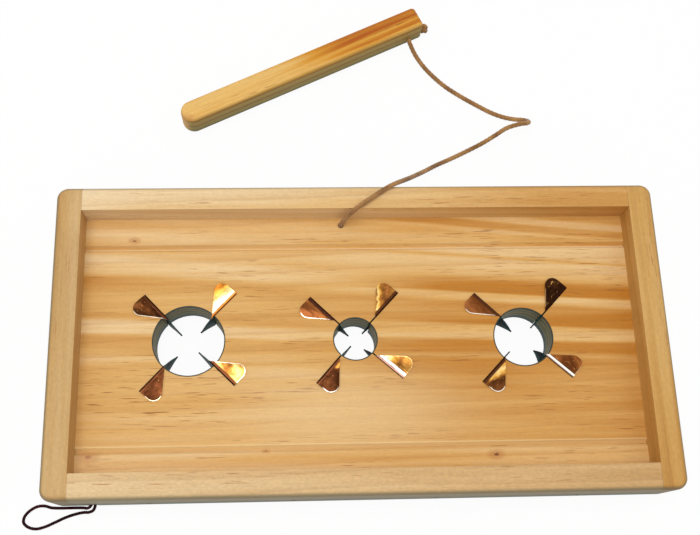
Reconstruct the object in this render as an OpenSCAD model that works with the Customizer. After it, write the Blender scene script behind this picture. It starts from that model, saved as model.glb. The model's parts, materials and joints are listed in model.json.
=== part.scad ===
// Olive slitting board: a nailed pine tray with three holes, each ringed by four folded steel blades,
// and a wooden pusher tethered to it by twine. Millimetres, +Z up.
// The origin is the middle of the board's outline, on its underside.

/* [Frame] */
// Length of the board along X
board_l = 340; // [280:1:420]
// Depth of the board from front to back
board_d = 174.5; // [160:0.5:220]
// Depth of the tray, from the frame's top to the panel
tray_h = 15; // [12:0.5:24]
// Width of the two end stiles
stile_w = 14.4; // [12:0.2:20]
// Width of the front and back rails
rail_w = 14.2; // [12:0.2:18]
// Radius of the frame's corners in plan
corner_r = 6.5; // [5:0.5:9]
// Rounding of the frame's outer top edge
top_edge_r = 4; // [1:0.5:4.5]
// Rounding of the frame's outer bottom edge
foot_edge_r = 3; // [1:0.5:4.5]

/* [Panel] */
// Thickness of the panel boards
panel_t = 18; // [16:0.5:24]
// Width of the centre board
centre_w = 115.5; // [100:0.5:118]
// How far the centre board's middle lies in front of the board's middle
centre_shift = 2.5; // [0:0.5:4]
// Bevel on each side of a board joint
joint_bevel = 2; // [1:0.2:3]
// Thickness of the tongue
tongue_t = 5; // [4:0.2:6]
// How far the tongue stands out
tongue_l = 5; // [4:0.2:6]

/* [Olive holes] */
// Radius of the large hole
large_r = 19.75; // [15:0.25:22]
// Radius of the medium hole
medium_r = 16.5; // [13:0.25:19]
// Radius of the small hole
small_r = 12; // [10:0.25:14]
// Place of the large hole along X
large_x = -96; // [-100:1:-85]
// Place of the medium hole along X
medium_x = 92; // [80:1:98]
// Place of the small hole along X
small_x = -3; // [-12:1:8]
// Place of the holes along Y
hole_y = 0.5; // [-4:0.5:4]

/* [Blades] */
// Thickness of the blade sheet
sheet_t = 0.8; // [0.5:0.1:1.2]
// Length of the folded petal along its fold
petal_l = 19.2; // [16:0.2:21]
// Radius of the petal's round outer corner
petal_r = 4.5; // [3:0.1:5]
// Angle between the fold and the petal's free edge
petal_angle = 39; // [34:1:42]
// Depth of the fin where the petal starts
fin_d = 16; // [12:0.5:16]
// Depth of the fin at its outer end
tail_d = 12; // [8:0.5:12]
// Drop of the nose tip below the panel's face
tip_drop = 7; // [4:0.5:9]
// Play in the saw kerf on each side of a fin
kerf_play = 0.05; // [0.05:0.01:0.15]

/* [Blade places, from the right back one, anticlockwise] */
// From the large hole's rim to each blade's outer end
large_heels = [18.2, 17, 18.8, 16.5]; // [14:0.1:26]
// From the small hole's rim to each blade's outer end
small_heels = [24.5, 23, 21.5, 22.5]; // [14:0.1:26]
// From the medium hole's rim to each blade's outer end
medium_heels = [23, 20.5, 19.2, 18.7]; // [14:0.1:26]
// Nose lengths at the large hole
large_noses = [10, 11, 9.5, 10]; // [5:0.5:12]
// Nose lengths at the small hole
small_noses = [11, 11, 11, 8.5]; // [5:0.5:12]
// Nose lengths at the medium hole
medium_noses = [11, 11, 7, 6.5]; // [5:0.5:12]
// How far each blade at the large hole is off its diagonal, in degrees
large_turns = [1, -2, 2, 0]; // [-4:0.5:4]
// How far each blade at the small hole is off its diagonal, in degrees
small_turns = [2, 0.5, 3.5, 3.5]; // [-4:0.5:4]
// How far each blade at the medium hole is off its diagonal, in degrees
medium_turns = [1.5, 0.5, 1, 2.5]; // [-4:0.5:4]

/* [Nails] */
// Length of a nail, head included
nail_l = 25; // [22:0.5:26]
// Diameter of a nail's shank
nail_d = 1.6; // [1.2:0.1:2]
// Diameter of a nail's head
nail_head_d = 2.6; // [2.2:0.1:3.2]
// Nails through each rail into the panel
rail_nails = 4; // [2:2:6]

/* [Pusher] */
// Length of the pusher
pusher_l = 162.8; // [140:0.2:180]
// Width of the pusher
pusher_w = 14.6; // [14:0.2:20]
// Height of the pusher
pusher_h = 15; // [13:0.5:20]
// Plan radius of its round working end
pusher_round_r = 7; // [3:0.5:7]
// Plan radius of its cord end
pusher_end_r = 2.6; // [2.6:0.2:5]
// Rounding of its long edges
pusher_edge_r = 2.5; // [1:0.5:2.5]
// Angle of the pusher to the board
pusher_turn = 25.2; // [20:0.2:30]
// Place of the pusher's middle along X
pusher_x = -29.4; // [-60:0.2:0]
// Place of the pusher's middle along Y
pusher_y = 176.6; // [170:0.2:190]
// From the pusher's end to its side bore
pusher_bore_in = 10; // [8:0.5:14]
// From the pusher's front side to its end bore
pusher_bore_side = 3; // [2.5:0.1:4]
// Height of both bores above the table
pusher_bore_z = 4.5; // [4:0.5:9]

/* [Cords] */
// Diameter of the twine tether
tether_d = 2.8; // [1.8:0.1:3.2]
// Diameter of the hanging loop's cord
loop_d = 1.7; // [1.2:0.1:1.8]
// Length of a stopper knot, in cord diameters
knot_ratio = 2.2; // [2:0.1:2.5]

/* [Hidden] */
$fn = 48;

pine = "#E2BE8A";
panel_pine = "#D9A55F";
steel = "#B08A5A";
twine = "#9A7448";
maroon = "#3A1216";
bright = "#B9BBBD";

// A cutter runs this far past the face that it opens
past = 1;
total_h = panel_t + tray_h;
inner_l = board_l - 2 * stile_w;
inner_d = board_d - 2 * rail_w;

// Board joints
joint_back_y = centre_w / 2 - centre_shift;
joint_front_y = -centre_w / 2 - centre_shift;
tongue_play = 0.1;
tongue_gap = 0.5;
tongue_z = panel_t / 2;

// Holes and their blades
blade_count = 4;
first_blade_angle = 45;
blade_step = 360 / blade_count;
kerf_w = sheet_t + 2 * kerf_play;
petal_side = ((petal_l - petal_r) * sin(petal_angle) - petal_r) / cos(petal_angle);
LARGE = [large_x, large_r, large_heels, large_noses, large_turns];
SMALL = [small_x, small_r, small_heels, small_noses, small_turns];
MEDIUM = [medium_x, medium_r, medium_heels, medium_noses, medium_turns];
HOLES = [LARGE, SMALL, MEDIUM];

// Nails
nail_head_t = 1.2;
nail_set = 0.5;
nail_play = 0.05;
nail_z = panel_t / 2;
upper_nail_z = panel_t + tray_h / 2;
end_nail_ys = [(inner_d / 2 + joint_back_y) / 2, -centre_shift, (joint_front_y - inner_d / 2) / 2];

// Tether hole, in the back board beside the back rail
tether_x = -9.4;
tether_y = 68.5;
tether_bore_d = tether_d + 0.6;
tether_knot_l = tether_d * knot_ratio;
tether_knot_d = tether_knot_l * 1.15;
knot_room = 0.6;
tether_pocket_d = tether_knot_d + 2 * knot_room;
tether_pocket_h = tether_knot_l + knot_room;

// Loop hole, low in the front rail
loop_x = -147;
loop_z = 5;
loop_bore_d = 2 * loop_d + 0.4;
loop_mouth_d = 2 * loop_bore_d;
loop_knot_l = loop_d * knot_ratio;
loop_knot_d = loop_knot_l * 1.3;
loop_pocket_d = loop_knot_d + knot_room;
loop_pocket_l = loop_knot_l + knot_room;
loop_seat_y = -inner_d / 2 - loop_pocket_l;

// Pusher bores
pusher_bore_y = pusher_bore_side - pusher_w / 2;
pusher_bore_d = tether_d + 0.6;
pusher_knot_l = 1.8 * tether_d;
pusher_knot_d = 2.4 * tether_d;

// The tether from the panel knot over the back rail, along the table and into the pusher
TETHER = [
    [-9.4, 68.5, 6.8], [-9.4, 68.5, 12.5], [-9.4, 68.5, 18], [-8.3, 69.2, 23.2], [-6, 70.1, 28.4],
    [-2.9, 71.2, 33.4], [1.9, 74.4, 35.6], [7.6, 78.5, 35.1], [13, 82.3, 34.8], [18.5, 86, 33.95],
    [22.8, 88.9, 31.85], [26.8, 91.94, 28.2], [31.18, 95.86, 22.8], [36.46, 100.88, 16.2], [43.07, 106.54, 9.9],
    [50.83, 112.45, 5.2], [60.3, 118, 2.2], [70.67, 123.34, 1.7], [80.38, 127.5, 4.4], [87.87, 130.87, 8.2],
    [95.04, 134.66, 10.6], [104.43, 137.23, 11.26], [106.94, 137.8, 10.55], [108.85, 138.97, 9.13],
    [109.86, 140.53, 7.22], [109.77, 142.22, 5.17], [108.61, 143.74, 3.32], [106.57, 144.84, 2],
    [104.02, 145.31, 1.43], [96.91, 146.67, 1.42], [88.92, 149.76, 1.42], [79.19, 155.45, 1.42],
    [69.47, 161.72, 1.42], [60.97, 168.03, 1.42], [53.74, 175.07, 1.42], [47.76, 182.37, 1.42],
    [43.52, 189.35, 1.42], [41.08, 193.66, 2.6], [37.9, 201.4, 4.5]
];

// The hanging loop, out of the front rail and back into it
LOOP = [
    [-146.1, -77.6, 5], [-146.1, -82.5, 5], [-146.1, -87.4, 5], [-147.1, -89.8, 4.4], [-149.6, -90.8, 2.9],
    [-153, -90.8, 1.5], [-157.8, -91.7, 0.9], [-163, -93.4, 0.9], [-168.3, -95.8, 0.9],
    [-173.5, -98, 0.9], [-178.2, -99, 0.9], [-182.4, -98, 0.9], [-185, -95.6, 0.9], [-184.8, -92.6, 0.9],
    [-182.3, -89.5, 0.9], [-178.3, -87.2, 0.9], [-174.2, -86.9, 0.9], [-170.6, -87.9, 0.9],
    [-166, -88.2, 0.9], [-161, -88.2, 0.9], [-156.4, -88.2, 1], [-152.6, -88.4, 1.9],
    [-150.9, -88.7, 3.5], [-149.4, -88.3, 4.3], [-148.3, -87.1, 4.8], [-147.9, -85.3, 5], [-147.9, -81.5, 5],
    [-147.9, -77.6, 5]
];
cord_sides = 8;

function unit(v) = v / norm(v);
function heading(p, i) = unit(
    (i > 0 ? unit(p[i] - p[i - 1]) : [0, 0, 0]) + (i < len(p) - 1 ? unit(p[i + 1] - p[i]) : [0, 0, 0])
);
function square_to(side, way) = unit(side - (side * way) * way);
function carried(p, side, i) = i >= len(p)
    ? []
    : let (next = square_to(side, heading(p, i))) concat([next], carried(p, next, i + 1));
function ring(centre, side, way, r) = [
    for (k = [0:cord_sides - 1])
        let (a = (k + 0.5) * 360 / cord_sides)
        centre + r * (cos(a) * side + sin(a) * cross(way, side))
];
function cord_points(p, d) =
    let (sides = carried(p, abs(heading(p, 0).z) > 0.9 ? [1, 0, 0] : [0, 0, 1], 0))
    [for (i = [0:len(p) - 1]) each ring(p[i], sides[i], heading(p, i), d / 2)];
function cord_faces(n) = concat(
    [for (k = [1:cord_sides - 2]) [0, k, k + 1]],
    [
        for (i = [0:n - 2], k = [0:cord_sides - 1])
            let (a = i * cord_sides + k, b = i * cord_sides + (k + 1) % cord_sides)
            each [[a, a + cord_sides, b], [b, a + cord_sides, b + cord_sides]]
    ],
    [for (k = [1:cord_sides - 2]) let (a = (n - 1) * cord_sides) [a, a + k + 1, a + k]]
);

module cord(points, d) {
    polyhedron(points = cord_points(points, d), faces = cord_faces(len(points)), convexity = 10);
}

// Half of a bar's outline, with its outer edges rounded
module edge_profile(half, h, top_r, foot_r) {
    intersection() {
        square([half, h]);
        union() {
            translate([0, foot_r])
                square([half, h - top_r - foot_r]);
            translate([0, h - top_r])
                square([half - top_r, top_r]);
            square([half - foot_r, foot_r]);
            translate([half - top_r, h - top_r])
                circle(r = top_r);
            translate([half - foot_r, foot_r])
                circle(r = foot_r);
        }
    }
}

module bar_run(run, half, h, top_r, foot_r) {
    rotate([90, 0, 0])
        linear_extrude(run, center = true) {
            edge_profile(half, h, top_r, foot_r);
            mirror([1, 0])
                edge_profile(half, h, top_r, foot_r);
        }
}

// A slab with round corners in plan and rounded outer edges
module rounded_slab(l, w, h, plan_r, top_r, foot_r) {
    bar_run(w - 2 * plan_r, l / 2, h, top_r, foot_r);
    rotate(90)
        bar_run(l - 2 * plan_r, w / 2, h, top_r, foot_r);
    for (sx = [-1, 1], sy = [-1, 1])
        translate([sx * (l / 2 - plan_r), sy * (w / 2 - plan_r), 0])
            rotate_extrude()
                edge_profile(plan_r, h, top_r, foot_r);
}

module frame_part(from, size) {
    intersection() {
        rounded_slab(board_l, board_d, total_h, corner_r, top_edge_r, foot_edge_r);
        translate([from.x, from.y, -past])
            cube([size.x, size.y, total_h + 2 * past]);
    }
}

// A nail that points along +X from its set head, larger all round by play
module nail(play = 0) {
    rotate([0, 90, 0]) {
        translate([0, 0, nail_set])
            cylinder(h = nail_l + play, d = nail_d + 2 * play);
        translate([0, 0, nail_set - (play > 0 ? nail_set + past : 0)])
            cylinder(h = nail_head_t + (play > 0 ? nail_set + past + play : 0), d = nail_head_d + 2 * play);
    }
}

module place_corner_nails(play = 0) {
    for (sx = [0, 1], sy = [-1, 1], z = [nail_z, upper_nail_z])
        mirror([sx, 0, 0])
            translate([-board_l / 2, sy * (board_d - rail_w) / 2, z])
                nail(play);
}

module place_panel_nails(play = 0) {
    for (sx = [0, 1], y = end_nail_ys)
        mirror([sx, 0, 0])
            translate([-board_l / 2, y, nail_z])
                nail(play);
    for (side = [0, 1], i = [0:rail_nails - 1])
        mirror([0, side, 0])
            translate([inner_l * ((i + 0.5) / rail_nails - 0.5), -board_d / 2, nail_z])
                rotate(90)
                    nail(play);
}

module nail_holes() {
    place_corner_nails(nail_play);
    place_panel_nails(nail_play);
}

// An outward place on a blade: u runs out along the fold, from where the petal starts
module at_blade(hole, i) {
    translate([hole[0], hole_y, panel_t])
        rotate(first_blade_angle + i * blade_step + hole[4][i])
            translate([hole[1] + hole[2][i] - petal_l, 0, 0])
                children();
}

function bow(a, b, c, t) = (1 - t) * (1 - t) * a + 2 * t * (1 - t) * b + t * t * c;

module fin_outline(nose) {
    tip = [-nose, -tip_drop];
    steps = 6;
    polygon(concat(
        [[petal_l, -tail_d], [petal_l, 0]],
        [for (k = [0:steps]) bow([0, 0], [-0.55 * nose, -0.1 * tip_drop], tip, k / steps)],
        [for (k = [1:steps]) bow(tip, [-0.6 * nose, -1.3 * tip_drop], [0, -fin_d], k / steps)]
    ));
}

module petal_outline() {
    side_run = (petal_l - petal_r) * cos(petal_angle) + petal_side * sin(petal_angle);
    polygon([
        [0, 0], [petal_l, 0], [petal_l, petal_side], [petal_l - petal_r, petal_side],
        side_run * [cos(petal_angle), sin(petal_angle)]
    ]);
    translate([petal_l - petal_r, petal_side])
        circle(r = petal_r);
}

// One blade, cut from sheet: a fin down in the kerf and a petal folded flat on the panel
module blade(hole, i) {
    color(steel)
        at_blade(hole, i) {
            rotate([90, 0, 0])
                linear_extrude(sheet_t, center = true)
                    fin_outline(hole[3][i]);
            translate([0, sheet_t / 2, 0])
                linear_extrude(sheet_t)
                    petal_outline();
            intersection() {
                translate([0, sheet_t / 2, 0])
                    rotate([0, 90, 0])
                        cylinder(h = petal_l, r = sheet_t);
                translate([0, -sheet_t / 2, 0])
                    cube([petal_l, sheet_t, sheet_t]);
            }
        }
}

module kerf(hole, i) {
    mouth = petal_l - hole[2][i] - past;
    at_blade(hole, i)
        translate([mouth, -kerf_w / 2, -panel_t - past])
            cube([petal_l + kerf_play - mouth, kerf_w, panel_t + 2 * past]);
}

// A board that fills the tray from y0 to y1, bevelled at its joints
module panel_board(y0, y1, bevel0, bevel1) {
    rotate([90, 0, 90])
        linear_extrude(inner_l, center = true)
            polygon([
                [y0, 0], [y1, 0], [y1, panel_t - bevel1], [y1 - bevel1, panel_t],
                [y0 + bevel0, panel_t], [y0, panel_t - bevel0]
            ]);
}

// The tongue that stands back from y, or its groove
module tongue(y, play, gap) {
    translate([-inner_l / 2 - gap, y - gap, tongue_z - tongue_t / 2 - play])
        cube([inner_l + 2 * gap, tongue_l + 2 * gap, tongue_t + 2 * play]);
}

module left_stile() {
    color(pine)
        difference() {
            frame_part([-board_l / 2, -board_d / 2], [stile_w, board_d]);
            nail_holes();
        }
}

module right_stile() {
    color(pine)
        difference() {
            frame_part([board_l / 2 - stile_w, -board_d / 2], [stile_w, board_d]);
            nail_holes();
        }
}

module back_rail() {
    color(pine)
        difference() {
            frame_part([-inner_l / 2, inner_d / 2], [inner_l, rail_w]);
            nail_holes();
        }
}

module front_rail() {
    color(pine)
        difference() {
            frame_part([-inner_l / 2, -board_d / 2], [inner_l, rail_w]);
            nail_holes();
            translate([loop_x, 0, loop_z])
                rotate([90, 0, 0]) {
                    cylinder(h = board_d / 2 + past, d = loop_bore_d);
                    cylinder(h = -loop_seat_y, d = loop_pocket_d);
                    translate([0, 0, board_d / 2 - loop_bore_d / 2])
                        cylinder(h = loop_bore_d / 2, d1 = loop_bore_d, d2 = loop_mouth_d);
                }
        }
}

module centre_board() {
    color(panel_pine)
        difference() {
            union() {
                panel_board(joint_front_y, joint_back_y, joint_bevel, joint_bevel);
                translate([0, joint_back_y, tongue_z])
                    translate([-inner_l / 2, -past, -tongue_t / 2])
                        cube([inner_l, tongue_l + past, tongue_t]);
            }
            tongue(joint_front_y, tongue_play, tongue_gap);
            for (hole = HOLES) {
                translate([hole[0], hole_y, -past])
                    cylinder(h = panel_t + 2 * past, r = hole[1]);
                for (i = [0:blade_count - 1])
                    kerf(hole, i);
            }
            nail_holes();
        }
}

module back_board() {
    color(panel_pine)
        difference() {
            panel_board(joint_back_y, inner_d / 2, joint_bevel, 0);
            tongue(joint_back_y, tongue_play, tongue_gap);
            translate([tether_x, tether_y, -past]) {
                cylinder(h = panel_t + 2 * past, d = tether_bore_d);
                cylinder(h = tether_pocket_h + past, d = tether_pocket_d);
            }
            nail_holes();
        }
}

module front_board() {
    color(panel_pine)
        difference() {
            union() {
                panel_board(-inner_d / 2, joint_front_y, 0, joint_bevel);
                translate([-inner_l / 2, joint_front_y - past, tongue_z - tongue_t / 2])
                    cube([inner_l, tongue_l + past, tongue_t]);
            }
            nail_holes();
        }
}

module corner_nails() {
    color(bright)
        place_corner_nails();
}

module panel_nails() {
    color(bright)
        place_panel_nails();
}

module in_pusher() {
    translate([pusher_x, pusher_y, 0])
        rotate(pusher_turn)
            children();
}

module pusher_half(plan_r) {
    intersection() {
        rounded_slab(pusher_l, pusher_w, pusher_h, plan_r, pusher_edge_r, pusher_edge_r);
        translate([0, -pusher_w, -past])
            cube([pusher_l, 2 * pusher_w, pusher_h + 2 * past]);
    }
}

module pusher() {
    color(pine)
        in_pusher()
            difference() {
                union() {
                    pusher_half(pusher_end_r);
                    mirror([1, 0, 0])
                        pusher_half(pusher_round_r);
                }
                translate([pusher_l / 2 - pusher_bore_in, pusher_bore_y, pusher_bore_z]) {
                    rotate([90, 0, 0])
                        cylinder(h = pusher_w, d = pusher_bore_d);
                    rotate([0, 90, 0])
                        cylinder(h = pusher_l, d = pusher_bore_d);
                    sphere(d = pusher_bore_d);
                }
            }
}

module tether_cord() {
    color(twine)
        cord(TETHER, tether_d);
}

// A round stopper knot, flat where it seats, below the origin
module stopper_knot(l, d) {
    intersection() {
        translate([0, 0, -l / 2])
            scale([d / l, d / l, 1])
                sphere(d = l * 1.08);
        translate([-d, -d, -l])
            cube([2 * d, 2 * d, l]);
    }
}

module tether_panel_knot() {
    color(twine)
        translate([tether_x, tether_y, tether_pocket_h])
            stopper_knot(tether_knot_l, tether_knot_d);
}

// The knot outside the pusher's end, with its tail in the end bore
module pusher_knot() {
    color(twine)
        in_pusher()
            translate([pusher_l / 2, pusher_bore_y, pusher_bore_z])
                rotate([0, -90, 0]) {
                    stopper_knot(pusher_knot_l, pusher_knot_d);
                    cylinder(h = pusher_bore_in, d = tether_d);
                }
}

module hanging_loop() {
    color(maroon)
        cord(LOOP, loop_d);
}

module loop_knot() {
    color(maroon)
        translate([loop_x, loop_seat_y, loop_z])
            rotate([90, 0, 0])
                stopper_knot(loop_knot_l, loop_knot_d);
}

left_stile();
right_stile();
back_rail();
front_rail();
centre_board();
back_board();
front_board();
corner_nails();
panel_nails();
for (i = [1:blade_count]) {
    blade(LARGE, i - 1);
    blade(SMALL, i - 1);
    blade(MEDIUM, i - 1);
}
pusher();
tether_cord();
tether_panel_knot();
pusher_knot();
hanging_loop();
loop_knot();
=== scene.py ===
"""Olive slitting board: a pine tray with three bladed holes, a tethered pusher and a hanging loop.

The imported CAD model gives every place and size. This script dresses its wood and nails, and puts folded
steel blades and twisted cords of real length in the places of their plain solids. Metres, +Z up.
"""

import json
import logging
import math
from dataclasses import dataclass, field
from enum import Enum
from functools import partial
from typing import Any, Callable, Iterable, Sequence

import bmesh
import bpy
from mathutils import Matrix, Vector

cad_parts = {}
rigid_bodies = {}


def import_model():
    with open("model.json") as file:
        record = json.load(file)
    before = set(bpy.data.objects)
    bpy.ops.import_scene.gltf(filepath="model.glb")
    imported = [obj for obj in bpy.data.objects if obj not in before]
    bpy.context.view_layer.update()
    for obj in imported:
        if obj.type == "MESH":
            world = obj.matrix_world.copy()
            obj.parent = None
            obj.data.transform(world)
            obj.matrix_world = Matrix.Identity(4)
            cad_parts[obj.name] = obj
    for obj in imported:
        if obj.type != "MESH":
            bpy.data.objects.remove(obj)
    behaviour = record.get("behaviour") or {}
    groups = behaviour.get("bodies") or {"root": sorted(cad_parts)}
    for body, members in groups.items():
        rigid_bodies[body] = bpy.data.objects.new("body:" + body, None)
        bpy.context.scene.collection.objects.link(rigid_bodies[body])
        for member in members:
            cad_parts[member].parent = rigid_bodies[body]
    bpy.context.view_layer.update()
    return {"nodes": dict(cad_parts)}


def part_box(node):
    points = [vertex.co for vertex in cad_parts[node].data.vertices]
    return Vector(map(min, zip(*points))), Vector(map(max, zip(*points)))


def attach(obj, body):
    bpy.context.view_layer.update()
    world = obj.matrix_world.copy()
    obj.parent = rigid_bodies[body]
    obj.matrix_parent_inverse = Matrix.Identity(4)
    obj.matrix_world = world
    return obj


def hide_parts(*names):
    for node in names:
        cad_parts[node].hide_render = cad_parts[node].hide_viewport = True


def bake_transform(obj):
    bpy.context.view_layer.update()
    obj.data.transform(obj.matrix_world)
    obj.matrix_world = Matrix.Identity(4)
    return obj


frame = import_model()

log = logging.getLogger("slitting_board")

MM = 0.001
PICTURE_WIDTH = 700
PICTURE_HEIGHT = 535

# The board's sizes in millimetres, from its middle and from the table
BOARD_LENGTH = 340.0
BOARD_DEPTH = 174.5
CORNER_RADIUS = 6.5
PANEL_TOP = 18.0
HOLE_Y = 0.5

SMOOTH = {"interpolation_type": "SMOOTHSTEP"}

Point = tuple[float, float, float]
Stops = Sequence[tuple[float, Any]]


class Body(Enum):
    """The two bodies that the pusher's joint moves apart."""

    BOARD = "board"
    PUSHER = "pusher"


class Slot(Enum):
    """The record's material slots."""

    FRAME_PINE = "frame_pine"
    PANEL_PINE = "panel_pine"
    PUSHER_PINE = "pusher_pine"
    BLADE_STEEL = "blade_steel"
    NAIL_STEEL = "nail_steel"
    TWINE = "twine"
    LOOP_CORD = "loop_cord"


class Hole(Enum):
    """The holes for three olive sizes: each one's label, its place along the board and its radius."""

    LARGE = ("large", -96.0, 19.75)
    SMALL = ("small", -3.0, 12.0)
    MEDIUM = ("medium", 92.0, 16.5)

    def __init__(self, label: str, x: float, radius: float) -> None:
        """Gives the three values their names."""
        self.label = label
        self.x = x
        self.radius = radius


def linear(code: str) -> tuple[float, float, float, float]:
    """Turns an sRGB hex colour into the linear colour that a shader reads.

    Args:
        code: Six hex digits after a hash sign.

    Returns:
        Red, green, blue and an alpha of 1.
    """
    parts = [int(code[i : i + 2], 16) / 255 for i in (1, 3, 5)]
    red, green, blue = (p / 12.92 if p <= 0.04045 else ((p + 0.055) / 1.055) ** 2.4 for p in parts)
    return red, green, blue, 1.0


def add_node(tree: bpy.types.NodeTree, kind: str, inputs: dict[str, Any] | Sequence[Any] = (),
             stops: Stops = (), **settings: Any) -> bpy.types.Node:
    """Adds a node with its settings and links.

    Args:
        tree: The node tree to add to.
        kind: The node's type, without ShaderNode before it.
        inputs: Inputs by name, or in the order of the node's open inputs. Each is a value, a hex colour, or the
            node or the socket that feeds it.
        stops: Positions, rising, and hex colours or grey values of a colour ramp.
        **settings: The node's own properties.

    Returns:
        The new node.
    """
    node = tree.nodes.new("ShaderNode" + kind)
    for key, value in settings.items():
        setattr(node, key, value)
    if isinstance(inputs, dict):
        pairs = [(node.inputs[key], value) for key, value in inputs.items()]
    else:
        pairs = zip([socket for socket in node.inputs if socket.enabled], inputs)
    for socket, value in pairs:
        if isinstance(value, bpy.types.Node):
            value = next(out for out in value.outputs if out.enabled)
        if isinstance(value, bpy.types.NodeSocket):
            tree.links.new(value, socket)
        else:
            socket.default_value = linear(value) if isinstance(value, str) else value
    # A new ramp has its first and last stop already
    for number, (place, value) in enumerate((*stops[:1], *stops[-1:], *stops[1:-1])):
        ramp = node.color_ramp.elements
        stop = ramp[number] if number < 2 else ramp.new(place)
        stop.position = place
        stop.color = linear(value) if isinstance(value, str) else (value, value, value, 1.0)
    return node


def new_mesh(name: str, points: Iterable[Sequence[float]], faces: Iterable[Sequence[int]],
             sharp_angle: float = 40.0) -> bpy.types.Object:
    """Makes a smooth-shaded mesh piece from points in metres.

    Args:
        name: The piece's name.
        points: The vertices.
        faces: Vertex numbers of each face.
        sharp_angle: Edges that turn by more than this many degrees stay sharp.

    Returns:
        The new object, linked to the scene.
    """
    mesh = bpy.data.meshes.new(name)
    mesh.from_pydata([tuple(p) for p in points], [], [tuple(f) for f in faces])
    mesh.validate()
    mesh.polygons.foreach_set("use_smooth", [True] * len(mesh.polygons))
    mesh.set_sharp_from_angle(angle=math.radians(sharp_angle))
    piece = bpy.data.objects.new(name, mesh)
    bpy.context.scene.collection.objects.link(piece)
    return piece


def dress(piece: bpy.types.Object, material: bpy.types.Material) -> None:
    """Gives a piece one material in place of any that it has.

    Args:
        piece: A CAD node's object or a new piece.
        material: The finish.
    """
    piece.data.materials.clear()
    piece.data.materials.append(material)


def hand_over(piece: bpy.types.Object, material: bpy.types.Material, what: str,
              body: Body | None = None, stands_for: str = "") -> None:
    """Dresses a finished piece and the parts on it, puts a new piece on its body, hides the node it stands for, and
    logs it.

    Args:
        piece: A CAD node's object or a new piece.
        material: The finish.
        what: A few words on what the piece is.
        body: The body that a new piece rides on.
        stands_for: The CAD node that a new piece stands for.
    """
    for part in (piece, *piece.children):
        dress(part, material)
    if body:
        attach(piece, body.value)
    if stands_for:
        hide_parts(stands_for)
    log.info("%s: %s, %d faces", piece.name, what, len(piece.data.polygons))


# Finishes


class Finish:
    """A finish, named for what the real material is and how its surface was made."""

    name: str

    def surface(self, add: Callable[..., bpy.types.Node]) -> bpy.types.Node:
        """Builds the shader of the surface.

        Args:
            add: Adds a node to the material's tree.

        Returns:
            The shader.
        """
        raise NotImplementedError

    def material(self) -> bpy.types.Material:
        """Makes the node material."""
        material = bpy.data.materials.new(self.name)
        material.use_nodes = True
        material.node_tree.nodes.clear()
        add = partial(add_node, material.node_tree)
        add("OutputMaterial", {"Surface": self.surface(add)})
        return material


@dataclass(frozen=True)
class Knot:
    """A branch knot that shows on a board's face. Places and sizes in this file's finishes are millimetres."""

    x: float
    y: float
    size: float
    core: str = "#642A14"
    depth: float = 0.85


@dataclass(frozen=True)
class Stripe:
    """A strip along the board that paints light or shade at a joint: a highlight on its arris, shade in its groove."""

    low: float
    high: float
    colour: str
    depth: float


@dataclass(frozen=True)
class Patch:
    """Noise stretched along the grain: how long and how wide its patches are, and how finely it is broken up."""

    length: float
    width: float
    detail: float = 1.0


# Real sizes, but fibre is about 0.03 mm wide and is drawn 0.5 mm wide here so that it shows
PATCHES: dict[str, Patch] = {
    "wave": Patch(230, 34, 2),
    "band": Patch(420, 12, 3),
    "streak": Patch(150, 2.6, 2),
    "slow": Patch(150, 60, 1),
    "wander": Patch(260, 46, 2),
    "fade": Patch(170, 30, 2),
    "duct": Patch(17, 0.75, 1),
    "duct_crowd": Patch(80, 12, 1),
    "fibre": Patch(9, 0.5, 2),
    "speckle": Patch(2.2, 1.1, 2),
    "wall_layer": Patch(12, 4, 2),
}

# From the table up: the layers that the saw leaves on a hole's wall, painted in dark blue-green shade and teal
# bounce light, and the pusher's front side in painted shade, which two late rings run along
WALL_SHADE_LAYERS: Stops = ((0.0, "#1E3E3A"), (0.2, "#34504A"), (0.36, "#6E6428"), (0.5, "#3E4A26"), (0.62, "#846C2C"),
                      (0.74, "#34422A"), (0.86, "#7C6C2E"), (0.94, "#28361F"), (1.0, "#3E4430"))
# The pusher's front side: painted shade, greenish and darkest at the foot, with two late grain rings
SHADED_SIDE_RINGS: Stops = ((0.0, "#33463A"), (0.2, "#44523A"), (0.32, "#74703A"), (0.47, "#7E743A"), (0.54, "#6E3E18"),
                     (0.61, "#8A7A3C"), (0.8, "#927E3E"), (0.87, "#7A481C"), (0.93, "#A8863E"), (1.0, "#A8863E"))


@dataclass(frozen=True)
class WoodNodes:
    """What every layer of the wood is drawn with.

    Add makes a node in the wood's tree, place and own are its coordinates, whole and apart, along is the
    coordinates turned along the grain, and patch holds the stretched noises.
    """

    add: Callable[..., bpy.types.Node]
    place: Any
    own: Any
    along: bpy.types.Node
    patch: dict[str, Any]


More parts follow.
